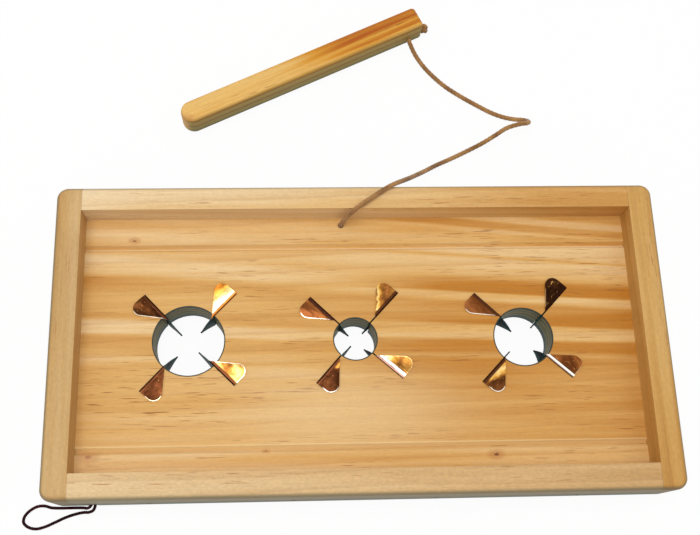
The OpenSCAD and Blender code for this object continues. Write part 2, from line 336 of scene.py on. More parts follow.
@dataclass(frozen=True)
class PlanedPine(Finish):
    """Planed radiata pine, left bare: soft growth rings along the grain, brown dashes of resin ducts, fine fibre.

    Pine's own IOR is near 1.53, and a planed face scatters most of its sheen. Turn and tilt are the grain's
    direction. The bands are places across the grain, each with how warm the wood is there, from 0 to 1, at the
    board's left and at its right, and turnover is where the one goes over into the other. Slope and fan slant and
    spread them, wave, band and streak break them up, and drift warms the board towards its right. Seam_x is where
    a rail meets its stiles, and foot is how dark the painted grey-green shade on the outer faces is.
    """

    name: str
    pale: str = "#E9CB9A"
    mid: str = "#D6A65F"
    warm: str = "#B8761E"
    late: str = "#A86A28"
    duct: str = "#985C24"
    end_grain: str = "#8A5424"
    seam: str = "#7E5228"
    # Painted grey-green shade on the outer faces
    painted_side_shade: str = "#4C5240"
    turn: float = 0.0
    tilt: float = 1.6
    slope: float = 0.04
    fan: float = 0.0008
    left_bands: tuple[tuple[float, float], ...] = ((-90.0, 0.5), (90.0, 0.5))
    right_bands: tuple[tuple[float, float], ...] = ((-90.0, 0.5), (90.0, 0.5))
    turnover: tuple[float, float] = (-60.0, 60.0)
    wave: float = 5.0
    band: float = 0.16
    streak: float = 0.07
    pith: tuple[float, float] = (170.0, -90.0)
    ring_gap: float = 7.0
    ring_depth: float = 0.25
    drift: float = 0.0
    duct_depth: float = 0.7
    mottle: float = 0.03
    duct_fields: tuple[tuple[float, float, float, float], ...] = ()
    glare_field: tuple[float, float, float, float] = ()
    seed: float = 0.0
    knots: tuple[Knot, ...] = ()
    stripes: tuple[Stripe, ...] = ()
    holes: tuple[Hole, ...] = ()
    seam_x: float = 0.0
    foot: float = 0.0
    shaded_side: Point = (0.0, 0.0, 0.0)

    def surface(self, add: Callable[..., bpy.types.Node]) -> bpy.types.Node:
        """Builds the wood from object coordinates, so that the grain runs through the solid.

        Args:
            add: Adds a node to the material's tree.

        Returns:
            The shader.
        """
        place = add("TexCoord").outputs
        along = add("Mapping", {
            "Vector": place["Object"], "Rotation": (0.0, math.radians(self.tilt), math.radians(self.turn)),
        }, vector_type="TEXTURE")
        patch = {}
        for number, (what, size) in enumerate(PATCHES.items()):
            # Every noise and every board reads a place of its own
            stretched = add("Mapping", {
                "Vector": along, "Location": (self.seed + 7.3 * number, 12.4 * number, 0.6 * self.seed),
                "Scale": (1 / (size.length * MM), 1 / (size.width * MM), 1 / (size.width * MM)),
            })
            patch[what] = add("TexNoise", {"Vector": stretched, "Scale": 1.0, "Detail": size.detail,
                                           "Roughness": 0.55}).outputs
        wood = WoodNodes(add, place, add("SeparateXYZ", (place["Object"],)).outputs, along, patch)
        colour, ring = self._rings(wood, self._bands(wood))
        for layer in (self._marks, self._knots, self._stripes, self._wear_and_shade, self._walls):
            colour = layer(wood, colour)
        # A planed face dips a little along the rings, and its fibre stands up
        height = add("Math", (ring, -0.35, add("Math", (patch["fibre"]["Fac"], 0.5), operation="MULTIPLY")),
                     operation="MULTIPLY_ADD")
        bump = add("Bump", {"Height": height, "Strength": 0.35, "Distance": 0.12 * MM})
        rough = add("MapRange", (patch["fibre"]["Fac"], 0.3, 0.7, 0.5, 0.62))
        return add("BsdfPrincipled", {"Base Color": colour, "Roughness": rough, "IOR": 1.53,
                                      "Specular IOR Level": 0.25, "Normal": bump})

    def _bands(self, wood: WoodNodes) -> bpy.types.Node:
        """Builds the broad bands of paler and warmer wood, which fan out a little along the board.

        Args:
            wood: What the layer is drawn with.

        Returns:
            The wood's colour before its marks.
        """
        add, own, patch = wood.add, wood.own, wood.patch
        grain = add("SeparateXYZ", (wood.along,)).outputs
        fall = add("Math", (grain["Y"], self.fan / MM, self.slope), operation="MULTIPLY_ADD")
        across = add("Math", (grain["X"], fall, grain["Y"]), operation="MULTIPLY_ADD")
        across = add("Math", (patch["wave"]["Fac"], 2 * self.wave * MM, across), operation="MULTIPLY_ADD")
        ends = []
        for bands in (self.left_bands, self.right_bands):
            low, high = bands[0][0], bands[-1][0]
            share = add("MapRange", (across, (low + self.wave) * MM, (high + self.wave) * MM))
            ends.append(add("ValToRGB", (share,), stops=[((y - low) / (high - low), warmth) for y, warmth in bands]))
        side = add("MapRange", (own["X"], self.turnover[0] * MM, self.turnover[1] * MM), **SMOOTH)
        tone = add("Math", (own["X"], self.drift / (BOARD_LENGTH * MM), add("Mix", (side, *ends), data_type="RGBA")),
                   operation="MULTIPLY_ADD")
        for what, depth in (("band", self.band), ("streak", self.streak), ("slow", 0.1)):
            change = add("MapRange", (patch[what]["Fac"], 0.3, 0.7, -depth, depth))
            tone = add("Math", (tone, change), operation="ADD")
        return add("ValToRGB", (tone,), stops=((0.0, self.pale), (0.5, self.mid), (1.0, self.warm)))

    def _rings(self, wood: WoodNodes, colour: bpy.types.Node) -> tuple[bpy.types.Node, bpy.types.Node]:
        """Adds growth rings round a pith that lies beside the board and at a small tilt to it.

        Args:
            wood: What the layer is drawn with.
            colour: The wood's colour so far.

        Returns:
            The colour with the rings, and the rings alone.
        """
        add, patch = wood.add, wood.patch
        # The rings wander by up to 12 mm, and each darkens slowly and ends sharply, as late wood does
        wander = add("VectorMath", (patch["wander"]["Color"], (0.0, 12 * MM, 12 * MM)), operation="MULTIPLY")
        walked = add("VectorMath", (wood.along, wander), operation="ADD")
        from_pith = add("VectorMath", (walked, (0.0, self.pith[0] * MM, self.pith[1] * MM)), operation="SUBTRACT")
        flat = add("VectorMath", (from_pith, (0.0, 1.0, 1.0)), operation="MULTIPLY")
        radius = add("VectorMath", (flat,), operation="LENGTH").outputs["Value"]
        rings = add("Math", (add("Math", (radius, 1 / (self.ring_gap * MM)), operation="MULTIPLY"),), operation="FRACT")
        ring = add("ValToRGB", (rings,), stops=((0.0, 0.03), (0.5, 0.16), (0.8, 0.6), (0.92, 1.0), (1.0, 0.03)))
        fade = add("MapRange", (patch["fade"]["Fac"], 0.35, 0.65, 0.15, self.ring_depth), **SMOOTH)
        mask = add("Math", (ring, fade), operation="MULTIPLY")
        return add("Mix", (mask, colour, self.late), data_type="RGBA"), mask

    def _marks(self, wood: WoodNodes, colour: bpy.types.Node) -> bpy.types.Node:
        """Adds resin ducts, a painted patch of glare and fibre.

        Args:
            wood: What the layer is drawn with.
            colour: The wood's colour so far.

        Returns:
            The colour with its marks.
        """
        add, patch = wood.add, wood.patch
        # Resin ducts are dashes 10 to 25 mm long and about half a millimetre wide, thickest in some bands
        dash = add("MapRange", (patch["duct"]["Fac"], 0.6, 0.72), **SMOOTH)
        crowd = add("MapRange", (patch["duct_crowd"]["Fac"], 0.45, 0.65, 0.05, self.duct_depth), **SMOOTH)
        for area in self.duct_fields:
            crowd = add("Math", (crowd, self._near(wood, area, 0.7, 1.1, 0.9)), operation="MAXIMUM")
        colour = add("Mix", (add("Math", (dash, crowd), operation="MULTIPLY"), colour, self.duct), data_type="RGBA")
        # Painted highlight: a broad pale patch of a lamp's glare on the planed face
        if self.glare_field:
            near = self._near(wood, self.glare_field, 0.1, 1.4, 0.3)
            colour = add("Mix", (near, colour, "#EED6AA"), data_type="RGBA")
        for what, depth in (("fibre", 0.045), ("speckle", self.mottle)):
            level = add("MapRange", (patch[what]["Fac"], 0.3, 0.7, 1 - depth, 1 + depth))
            colour = add("Mix", (1.0, colour, level), data_type="RGBA", blend_type="MULTIPLY")
        return colour

    def _near(self, wood: WoodNodes, area: Sequence[float], full: float, end: float, depth: float) -> bpy.types.Node:
        """Adds the mask of an oval area of the panel's face.

        Args:
            wood: What the layer is drawn with.
            area: The area's middle and its half sizes, x and y, in millimetres.
            full: The share of the half sizes up to which the mask is full.
            end: The share of the half sizes at which it ends.
            depth: The full mask's value.

        Returns:
            The mask.
        """
        add = wood.add
        x, y, reach_x, reach_y = area
        gap = add("VectorMath", (wood.place["Object"], (x * MM, y * MM, PANEL_TOP * MM)), operation="SUBTRACT")
        shrunk = add("VectorMath", (gap, (1 / (reach_x * MM), 1 / (reach_y * MM), 0.0)), operation="MULTIPLY")
        away = add("VectorMath", (shrunk,), operation="LENGTH").outputs["Value"]
        return add("MapRange", (away, full, end, depth, 0.0), **SMOOTH)

    def _knots(self, wood: WoodNodes, colour: bpy.types.Node) -> bpy.types.Node:
        """Adds the branch knots, each a dark core in a warm halo, drawn out along the board.

        Args:
            wood: What the layer is drawn with.
            colour: The wood's colour so far.

        Returns:
            The colour with its knots.
        """
        add = wood.add
        for knot in self.knots:
            middle = (knot.x * MM, knot.y * MM, PANEL_TOP * MM)
            gap = add("VectorMath", (wood.place["Object"], middle), operation="SUBTRACT")
            flat = add("VectorMath", (gap, (0.55, 1.0, 0.3)), operation="MULTIPLY")
            away = add("VectorMath", (flat,), operation="LENGTH").outputs["Value"]
            away = add("Math", (wood.patch["speckle"]["Fac"], knot.size * 0.9 * MM, away), operation="MULTIPLY_ADD")
            for reach, reflection, depth in ((3.0, "#B06A30", 0.5 * knot.depth), (1.3, knot.core, knot.depth)):
                mask = add("MapRange", (away, 0.5 * reach * knot.size * MM, reach * knot.size * MM, depth, 0.0),
                           **SMOOTH)
                colour = add("Mix", (mask, colour, reflection), data_type="RGBA")
        return colour

    def _stripes(self, wood: WoodNodes, colour: bpy.types.Node) -> bpy.types.Node:
        """Adds the painted highlights and shade along the joints, on the panel's face and a little way into the groove.

        Args:
            wood: What the layer is drawn with.
            colour: The wood's colour so far.

        Returns:
            The colour with its strips.
        """
        add, own = wood.add, wood.own
        soft = 0.3
        for stripe in self.stripes:
            rise = add("MapRange", (own["Y"], (stripe.low - soft) * MM, (stripe.low + soft) * MM), **SMOOTH)
            drop = add("MapRange", (own["Y"], (stripe.high - soft) * MM, (stripe.high + soft) * MM, 1.0, 0.0),
                       **SMOOTH)
            top = add("MapRange", (own["Z"], (PANEL_TOP - 3) * MM, (PANEL_TOP - 1.8) * MM, 0.0, stripe.depth),
                      **SMOOTH)
            mask = add("Math", (add("Math", (rise, drop), operation="MULTIPLY"), top), operation="MULTIPLY")
            colour = add("Mix", (mask, colour, stripe.colour), data_type="RGBA")
        return colour

    def _wear_and_shade(self, wood: WoodNodes, colour: bpy.types.Node) -> bpy.types.Node:
        """Adds the end grain, the painted shade on one side with its rings, the butt seams and the painted shade on the
        outer faces.

        Args:
            wood: What the layer is drawn with.
            colour: The wood's colour so far.

        Returns:
            The colour with its end grain, seams and painted shade.
        """
        add, place, own = wood.add, wood.place, wood.own
        # End grain drinks light and looks darker
        way = (math.cos(math.radians(self.turn)), math.sin(math.radians(self.turn)), 0.0)
        facing = add("VectorMath", (place["Normal"], way), operation="DOT_PRODUCT").outputs["Value"]
        ends = add("MapRange", (add("Math", (facing,), operation="ABSOLUTE"), 0.55, 0.95, 0.0, 0.35), **SMOOTH)
        colour = add("Mix", (ends, colour, self.end_grain), data_type="RGBA")
        if any(self.shaded_side):
            # One side gets painted shade, darkest at its foot, with two late rings along it
            facing = add("VectorMath", (place["Normal"], self.shaded_side), operation="DOT_PRODUCT").outputs["Value"]
            side_shade = add("MapRange", (facing, 0.3, 0.9, 0.0, 0.85), **SMOOTH)
            height = add("Math", (wood.patch["wander"]["Fac"], 1.6 * MM, own["Z"]), operation="MULTIPLY_ADD")
            rings = add("ValToRGB", (add("MapRange", (height, 0.0, 16 * MM)),), stops=SHADED_SIDE_RINGS)
            colour = add("Mix", (side_shade, colour, rings), data_type="RGBA")
        if self.seam_x:
            far_x = add("Math", (own["X"],), operation="ABSOLUTE")
            seam = add("MapRange", (far_x, (self.seam_x - 0.6) * MM, (self.seam_x - 0.15) * MM, 0.0, 0.4), **SMOOTH)
            colour = add("Mix", (seam, colour, self.seam), data_type="RGBA")
        if self.foot:
            # Painted shade: the rounded outer edges and the faces under them turn grey-green, darkest towards the foot.
            # How far out a point is counts from the round corners' middles, and its height has no part in it
            corner = ((BOARD_LENGTH / 2 - CORNER_RADIUS) * MM, (BOARD_DEPTH / 2 - CORNER_RADIUS) * MM, 1.0)
            past = add("VectorMath", (add("VectorMath", (place["Object"],), operation="ABSOLUTE"), corner),
                       operation="SUBTRACT")
            past = add("VectorMath", (past, (0.0, 0.0, 0.0)), operation="MAXIMUM")
            out = add("VectorMath", (past,), operation="LENGTH").outputs["Value"]
            side = add("MapRange", (out, 3.9 * MM, 6.0 * MM), **SMOOTH)
            low = add("MapRange", (own["Z"], 4 * MM, 24 * MM, self.foot, 0.75 * self.foot), **SMOOTH)
            colour = add("Mix", (add("Math", (side, low), operation="MULTIPLY"), colour, self.painted_side_shade),
                         data_type="RGBA")
        return colour

    def _walls(self, wood: WoodNodes, colour: bpy.types.Node) -> bpy.types.Node:
        """Adds the holes' walls: layers along the saw's marks, painted as shade and blue-green bounce light.

        Args:
            wood: What the layer is drawn with.
            colour: The wood's colour so far.

        Returns:
            The colour with the walls' painted shade.
        """
        if not self.holes:
            return colour
        add, own = wood.add, wood.own
        height = add("Math", (wood.patch["wall_layer"]["Fac"], 2.5 * MM, own["Z"]), operation="MULTIPLY_ADD")
        layers = add("MapRange", (height, 1.2 * MM, 1.2 * MM + PANEL_TOP * MM))
        wall_shade = add("ValToRGB", (layers,), stops=WALL_SHADE_LAYERS)
        # A dark line along the wall's top edge
        arris = add("MapRange", (own["Z"], (PANEL_TOP - 0.9) * MM, (PANEL_TOP - 0.3) * MM, 0.0, 0.9))
        wall_shade = add("Mix", (arris, wall_shade, "#1E2820"), data_type="RGBA")
        # Painted shade: the wall darkens towards the bottom of the hole
        deep_shade = add("MapRange", (own["Z"], 0.0, 7 * MM, 0.7, 0.0), **SMOOTH)
        wall_shade = add("Mix", (deep_shade, wall_shade, "#22302E"), data_type="RGBA")
        for hole in self.holes:
            off = add("VectorMath", (wood.place["Object"], (hole.x * MM, HOLE_Y * MM, 0.0)), operation="SUBTRACT")
            flat = add("VectorMath", (off, (1.0, 1.0, 0.0)), operation="MULTIPLY")
            out = add("VectorMath", (flat,), operation="LENGTH").outputs["Value"]
            wall = add("MapRange", (out, (hole.radius + 0.4) * MM, (hole.radius + 0.8) * MM, 1.0, 0.0))
            colour = add("Mix", (wall, colour, wall_shade), data_type="RGBA")
        return colour


@dataclass(frozen=True)
class PetalReflection:
    """One petal's painted reflection: the warm room and the lamp mirrored in the steel, painted into its colour
    with painted glints, rim highlight and fold light and shade. The sweep is the direction of its stops in degrees
    from the fold, over a reach.
    """

    stops: Stops
    sweep: float
    reach: tuple[float, float]
    fold: str = "#56301C"
    fold_reach: float = 1.7
    line: str = "#1E100A"
    line_reach: float = 0.5
    rim: str = "#D8B078"
    rim_depth: float = 0.5
    rim_all_round: bool = False
    waves: float = 2.0
    glints: float = 0.2


@dataclass(frozen=True)
class ReflectionPaintedSteel(Finish):
    """Polished rolled stainless sheet with its reflections painted into its colour: straw, bronze and white on the
    petal, dark blue-green painted reflection and shade on the fin.

    Polish gives a tight gloss, and the dents of folding by hand break it up. The pattern is in the blade's own
    axes: X runs out along the fold and Y across the petal.
    """

    name: str
    origin: tuple[float, float]
    angle: float
    reflection: PetalReflection
    seed: float
    corner: Point
    corner_radius: float
    slope: float

    def surface(self, add: Callable[..., bpy.types.Node]) -> bpy.types.Node:
        """Builds the sheet's painted reflections from the blade's own axes.

        Args:
            add: Adds a node to the material's tree.

        Returns:
            The shader.
        """
        own = add("Mapping", {
            "Vector": add("TexCoord").outputs["Object"],
            "Location": (self.origin[0] * MM, self.origin[1] * MM, PANEL_TOP * MM),
            "Rotation": (0.0, 0.0, math.radians(self.angle)),
            "Scale": (MM, MM, MM),
        }, vector_type="TEXTURE")
        axes = add("SeparateXYZ", (own,)).outputs
        # Dents are 3 to 5 mm wide, and glints 1 to 2 mm
        dents = add("TexNoise", {
            "Vector": add("Mapping", {"Vector": own, "Location": (self.seed, 2.0 * self.seed, 0.0),
                                      "Scale": (0.2, 0.3, 0.2)}),
            "Scale": 1.0, "Detail": 1.0, "Roughness": 0.5,
        }).outputs["Fac"]
        spots = add("TexNoise", {
            "Vector": add("Mapping", {"Vector": own, "Location": (3.0 * self.seed, self.seed, 0.0),
                                      "Scale": (0.5, 0.9, 0.5)}),
            "Scale": 1.0, "Detail": 2.0, "Distortion": 0.8,
        }).outputs["Fac"]
        colour = self._petal(add, own, dents, spots)
        colour = self._edges(add, own, axes, colour)
        # The fin in the hole is painted dark blue-green: painted shade with a painted teal reflection
        fin = add("ValToRGB", (dents,), stops=((0.35, "#02181A"), (0.65, "#0A4244")))
        on_fin = add("MapRange", (axes["Z"], -0.5, 0.05, 1.0, 0.0))
        colour = add("Mix", (on_fin, colour, fin), data_type="RGBA")
        # Rolling leaves lines a few hundredths of a millimetre apart, drawn at 0.4 mm so that they show
        rolled = add("TexNoise", {"Vector": add("Mapping", {"Vector": own, "Scale": (0.12, 2.5, 2.5)}),
                                  "Scale": 1.0, "Detail": 2.0}).outputs["Fac"]
        rough = add("Math", (add("MapRange", (rolled, 0.3, 0.7, 0.16, 0.28)),
                             add("Math", (on_fin, 0.35), operation="MULTIPLY")), operation="ADD")
        bump = add("Bump", {"Height": dents, "Strength": 0.5, "Distance": 0.3 * MM})
        return add("BsdfPrincipled", {"Base Color": colour, "Metallic": 1.0, "Roughness": rough, "Normal": bump})

    def _petal(self, add: Callable, own: bpy.types.Node, dents: Any, spots: Any) -> bpy.types.Node:
        """Sweeps the painted reflection's colours across the petal in one direction, bent by the dents.

        Args:
            add: Adds a node to the tree.
            own: The blade's own axes.
            dents: Noise of the dents' size.
            spots: Noise of the glints' size.

        Returns:
            The petal's colour.
        """
        sweep = math.radians(self.reflection.sweep)
        line = add("VectorMath", (own, (math.cos(sweep), math.sin(sweep), 0.0)), operation="DOT_PRODUCT")
        wave = self.reflection.waves * 5.0
        bent = add("Math", (dents, wave, line.outputs["Value"]), operation="MULTIPLY_ADD")
        share = add("MapRange", (bent, self.reflection.reach[0] + wave / 2, self.reflection.reach[1] + wave / 2))
        colour = add("ValToRGB", (share,), stops=self.reflection.stops)
        shade = add("MapRange", (spots, 0.3, 0.7, 0.9, 1.1))
        colour = add("Mix", (1.0, colour, shade), data_type="RGBA", blend_type="MULTIPLY")
        glint = add("MapRange", (spots, 0.64, 0.74, 0.0, self.reflection.glints), **SMOOTH)
        return add("Mix", (glint, colour, "#F0B868"), data_type="RGBA")

    def _edges(self, add: Callable, own: bpy.types.Node, axes: Any, colour: bpy.types.Node) -> bpy.types.Node:
        """Adds a painted highlight along the petal's free edge and round corner, and painted light and shade on the
        rounded fold.

        Args:
            add: Adds a node to the tree.
            own: The blade's own axes.
            axes: The same axes, apart.
            colour: The petal's colour.

        Returns:
            The colour with its edges.
        """
        slope = math.radians(self.slope)
        middle = add("VectorMath", (own, self.corner), operation="SUBTRACT")
        flat = add("VectorMath", (middle, (1.0, 1.0, 0.0)), operation="MULTIPLY")
        to_edge = add("VectorMath", (flat, (-math.sin(slope), math.cos(slope), 0.0)), operation="DOT_PRODUCT")
        to_end = add("VectorMath", (flat, (1.0, 0.0, 0.0)), operation="DOT_PRODUCT")
        onward = add("VectorMath", (flat, (math.cos(slope), math.sin(slope), 0.0)), operation="DOT_PRODUCT")
        past = add("Math", (onward.outputs["Value"], 0.0), operation="GREATER_THAN")
        beside = add("Math", (axes["Y"], self.corner[1]), operation="GREATER_THAN")
        in_corner = add("Math", (past, beside), operation="MULTIPLY")
        out = add("Math", (add("VectorMath", (flat,), operation="LENGTH").outputs["Value"], in_corner),
                  operation="MULTIPLY")
        for line in (to_edge, to_end):
            out = add("Math", (line.outputs["Value"], out), operation="MAXIMUM")
        rim = add("MapRange", (out, self.corner_radius - 0.5, self.corner_radius - 0.2, 0.0, self.reflection.rim_depth))
        if not self.reflection.rim_all_round:
            # The painted highlight is only on the edges towards the board's front
            front = math.radians(-90 - self.angle)
            way = add("VectorMath", (add("VectorMath", (flat,), operation="NORMALIZE"),
                                     (math.cos(front), math.sin(front), 0.0)), operation="DOT_PRODUCT")
            rim = add("Math", (rim, add("MapRange", (way.outputs["Value"], 0.25, 0.6))), operation="MULTIPLY")
        colour = add("Mix", (rim, colour, self.reflection.rim), data_type="RGBA")
        # The fold shows as a strip about 1.7 mm wide from above, painted dark as shade on some petals and white as a
        # highlight on others, with a fine line of painted shade where the petal begins
        reach = self.reflection.fold_reach
        strip = add("MapRange", (axes["Y"], reach - 0.2, reach, 1.0, 0.0))
        colour = add("Mix", (strip, colour, self.reflection.fold), data_type="RGBA")
        begin = add("Math", (add("Math", (axes["Y"], reach), operation="SUBTRACT"),), operation="ABSOLUTE")
        colour = add("Mix", (add("MapRange", (begin, 0.1, 0.35, 0.55, 0.0)), colour, "#2A140A"), data_type="RGBA")
        # A dark line of painted shade along the fold's outer edge
        line = add("MapRange", (axes["Y"], self.reflection.line_reach - 0.3, self.reflection.line_reach, 0.9, 0.0))
        return add("Mix", (line, colour, self.reflection.line), data_type="RGBA")


@dataclass(frozen=True)
class TwistedFibre(Finish):
    """Spun fibre: matt, and mottled by paler and darker hairs."""

    name: str
    dark: str
    mid: str
    light: str
    hair: float
    roughness: float
    sheen: float
    shine: float = 0.5

    def surface(self, add: Callable[..., bpy.types.Node]) -> bpy.types.Node:
        """Builds the fibre colour from two sizes of noise.

        Args:
            add: Adds a node to the material's tree.

        Returns:
            The shader.
        """
        place = add("TexCoord").outputs["Object"]
        hairs = add("TexNoise", {"Vector": place, "Scale": 1 / (self.hair * MM), "Detail": 3.0, "Roughness": 0.6})
        # Lengths of about 9 mm are paler or darker than the next
        lengths = add("TexNoise", {"Vector": place, "Scale": 1 / (9 * MM), "Detail": 1.0})
        both = add("Math", (lengths.outputs["Fac"], 0.5, hairs.outputs["Fac"]), operation="MULTIPLY_ADD")
        colour = add("ValToRGB", (both,), stops=((0.5, self.dark), (0.75, self.mid), (1.0, self.light)))
        bump = add("Bump", {"Height": hairs.outputs["Fac"], "Strength": 0.6, "Distance": 0.15 * MM})
        return add("BsdfPrincipled", {"Base Color": colour, "Roughness": self.roughness,
                                      "Specular IOR Level": self.shine, "Sheen Weight": self.sheen,
                                      "Sheen Roughness": 0.5, "Normal": bump})


@dataclass(frozen=True)
class DrawnSteel(Finish):
    """Drawn bright steel wire with a struck head: a soft shine, dulled by spots of grey oxide."""

    name: str = "drawn_steel_nail"
    clean: str = "#C4C4C0"
    oxide: str = "#7D7468"

    def surface(self, add: Callable[..., bpy.types.Node]) -> bpy.types.Node:
        """Builds the nail's steel.

        Args:
            add: Adds a node to the material's tree.

        Returns:
            The shader.
        """
        # Spots of oxide are about 1.2 mm across
        spots = add("TexNoise", {"Vector": add("TexCoord").outputs["Object"], "Scale": 1 / (1.2 * MM),
                                 "Detail": 3.0}).outputs["Fac"]
        colour = add("ValToRGB", (spots,), stops=((0.4, self.clean), (0.65, self.oxide)))
        rough = add("MapRange", (spots, 0.35, 0.65, 0.28, 0.5))
        bump = add("Bump", {"Height": spots, "Strength": 0.3, "Distance": 0.05 * MM})
        return add("BsdfPrincipled", {"Base Color": colour, "Metallic": 1.0, "Roughness": rough, "Normal": bump})


def seen(add: Callable[..., bpy.types.Node]) -> bpy.types.Node:
    """Adds the test for rays that show the background: camera, glossy and transmission rays together."""
    path = add("LightPath").outputs
    both = add("Math", (path["Is Camera Ray"], path["Is Glossy Ray"]), operation="ADD")
    return add("Math", (both, path["Is Transmission Ray"]), operation="ADD", use_clamp=True)


@dataclass(frozen=True)
class MattPaper(Finish):
    """Matt white paper: it keeps the board's shadow, and looks nearly as white as the room where it is seen."""

    name: str = "matt_white_paper"
    colour: str = "#F4F4F2"
    glow: float = 0.93

    def surface(self, add: Callable[..., bpy.types.Node]) -> bpy.types.Node:
        """Builds the paper.

        Args:
            add: Adds a node to the material's tree.

        Returns:
            The shader.
        """
        paper = add("BsdfDiffuse", {"Color": self.colour})
        glow = add("Emission", {"Color": "#FFFFFF", "Strength": 1.0})
        share = add("Math", (seen(add), self.glow), operation="MULTIPLY")
        return add("MixShader", (share, paper, glow))


# Camera, lamps and floor


@dataclass
class PhotoCamera:
    """The camera, looking down from the board's front left.

    Its place is in millimetres and its axes are unit vectors. They and the lens were worked out from the board's
    corners, hole rims and joints.
    """

    place: Point = (-41.39, -124.05, 499.18)
    right: Point = (0.99913, -0.0224, 0.03516)
    up: Point = (0.0121, 0.9629, 0.26957)
    back: Point = (-0.0399, -0.26891, 0.96234)
    focal_pixels: float = 889.04
    centre_pixels: tuple[float, float] = (322.18, 322.15)
    sensor: float = 36.0

    def build(self) -> bpy.types.Object:
        """Makes the camera and gives it to the scene.

        Returns:
            The camera object.
        """
        data = bpy.data.cameras.new("photo_camera")
        data.sensor_fit = "HORIZONTAL"
        data.sensor_width = self.sensor
        data.lens = self.focal_pixels * self.sensor / PICTURE_WIDTH
        data.shift_x = (PICTURE_WIDTH / 2 - self.centre_pixels[0]) / PICTURE_WIDTH
        data.shift_y = (self.centre_pixels[1] - PICTURE_HEIGHT / 2) / PICTURE_WIDTH
        data.clip_start = 0.02
        camera = bpy.data.objects.new("photo_camera", data)
        turn = Matrix((self.right, self.up, self.back)).transposed().to_quaternion().to_matrix().to_4x4()
        camera.matrix_world = Matrix.Translation(Vector(self.place) * MM) @ turn
        bpy.context.scene.collection.objects.link(camera)
        bpy.context.scene.camera = camera
        return camera


@dataclass
class Studio:
    """A pale floor, a soft white room, a soft key lamp and a weaker soft lamp on each side."""

    room_level: float = 0.62
    floor_size: float = 6.0
    floor_finish: MattPaper = MattPaper()
    lamps: tuple[tuple[str, Point, float, float], ...] = (
        ("key_lamp", (-0.22, -0.06, 1.38), 0.8, 8.4),
        ("left_lamp", (-0.95, 0.3, 1.2), 0.9, 1.0),
        ("right_lamp", (0.95, 0.2, 1.1), 0.9, 1.6),
    )

    def build(self) -> None:
        """Makes the world, the lamps and the floor."""
        bpy.context.scene.view_settings.view_transform = "Standard"
        self._room()
        for name, place, size, watts in self.lamps:
            data = bpy.data.lights.new(name, "AREA")
            data.size = size
            data.energy = watts
            lamp = bpy.data.objects.new(name, data)
            lamp.location = place
            lamp.rotation_euler = Vector(place).to_track_quat("Z", "Y").to_euler()
            bpy.context.scene.collection.objects.link(lamp)
        self._floor()

    def _room(self) -> None:
        """Makes the world: white where it is seen, and a plain level where it lights."""
        world = bpy.data.worlds.new("white_room")
        world.use_nodes = True
        world.node_tree.nodes.clear()
        add = partial(add_node, world.node_tree)
        lit = add("Background", {"Color": "#FFFFFF", "Strength": self.room_level})
        shown = add("Background", {"Color": "#FFFFFF", "Strength": 1.0})
        add("OutputWorld", {"Surface": add("MixShader", (seen(add), lit, shown))})
        bpy.context.scene.world = world

    def _floor(self) -> None:
        """Makes the floor, a little under the board's foot."""
        half = self.floor_size / 2
        floor = new_mesh("floor", [(-half, -half, 0), (half, -half, 0), (half, half, 0), (-half, half, 0)],
                         [(0, 1, 2, 3)])
        floor.location.z = -0.3 * MM
        dress(floor, self.floor_finish.material())


# Cords


def route(points: Sequence[Point], step: float) -> list[Vector]:
    """Runs a smooth curve through a route's points.

    Args:
        points: The route, in metres.
        step: The distance between the new points, in metres.

    Returns:
        Points along the curve.
    """
    knots = [Vector(p) for p in points]
    ends = [2 * knots[0] - knots[1], *knots, 2 * knots[-1] - knots[-2]]
    out = []
    for a, b, c, d in zip(ends, ends[1:], ends[2:], ends[3:]):
        # A centripetal curve doesn't overshoot where the points come close together
        t1 = (b - a).length ** 0.5
        t2 = t1 + (c - b).length ** 0.5
        t3 = t2 + (d - c).length ** 0.5
        pieces = max(1, round((c - b).length / step))
        for k in range(pieces):
            t = t1 + (t2 - t1) * k / pieces
            ab = a.lerp(b, t / t1)
            bc = b.lerp(c, (t - t1) / (t2 - t1))
            cd = c.lerp(d, (t - t2) / (t3 - t2))
            out.append(ab.lerp(bc, t / t2).lerp(bc.lerp(cd, (t - t1) / (t3 - t1)), (t - t1) / (t2 - t1)))
    out.append(knots[-1])
    return out


@dataclass
class Twine:
    """A cord laid up from strands, as one tube whose lobes wind round the route."""

    name: str
    points: tuple[Point, ...]
    diameter: float
    strands: int = 3
    lay_length: float = 8.0 * MM
    groove: float = 0.2
    step: float = 0.45 * MM
    sides: int = 24

    def line(self) -> list[Vector]:
        """Gives the cord's centreline."""
        return route(self.points, self.step)

    def build(self) -> bpy.types.Object:
        """Makes the tube.

        Returns:
            The cord's piece.
        """
        line = self.line()
        count = len(line)
        verts, faces = [], []
        side = Vector((0.0, 0.0, 1.0)) if abs((line[1] - line[0]).normalized().z) < 0.9 else Vector((1.0, 0.0, 0.0))
        run = 0.0
        for i, centre in enumerate(line):
            way = (line[min(i + 1, count - 1)] - line[max(i - 1, 0)]).normalized()
            side = (side - side.dot(way) * way).normalized()
            other = way.cross(side)
            if i:
                run += (centre - line[i - 1]).length
            twist = math.tau * run / self.lay_length
            for k in range(self.sides):
                around = math.tau * k / self.sides
                lobe = abs(math.sin(self.strands * (around - twist) / 2))
                r = self.diameter / 2 * (1 - self.groove * (1 - lobe) ** 2)
                verts.append(centre + r * (math.cos(around) * side + math.sin(around) * other))
        for i in range(count - 1):
            for k in range(self.sides):
                a, b = i * self.sides + k, i * self.sides + (k + 1) % self.sides
                faces.append((a, b, b + self.sides, a + self.sides))
        faces.append(tuple(range(self.sides))[::-1])
        faces.append(tuple(range(len(verts) - self.sides, len(verts))))
        return new_mesh(self.name, verts, faces, 60.0)


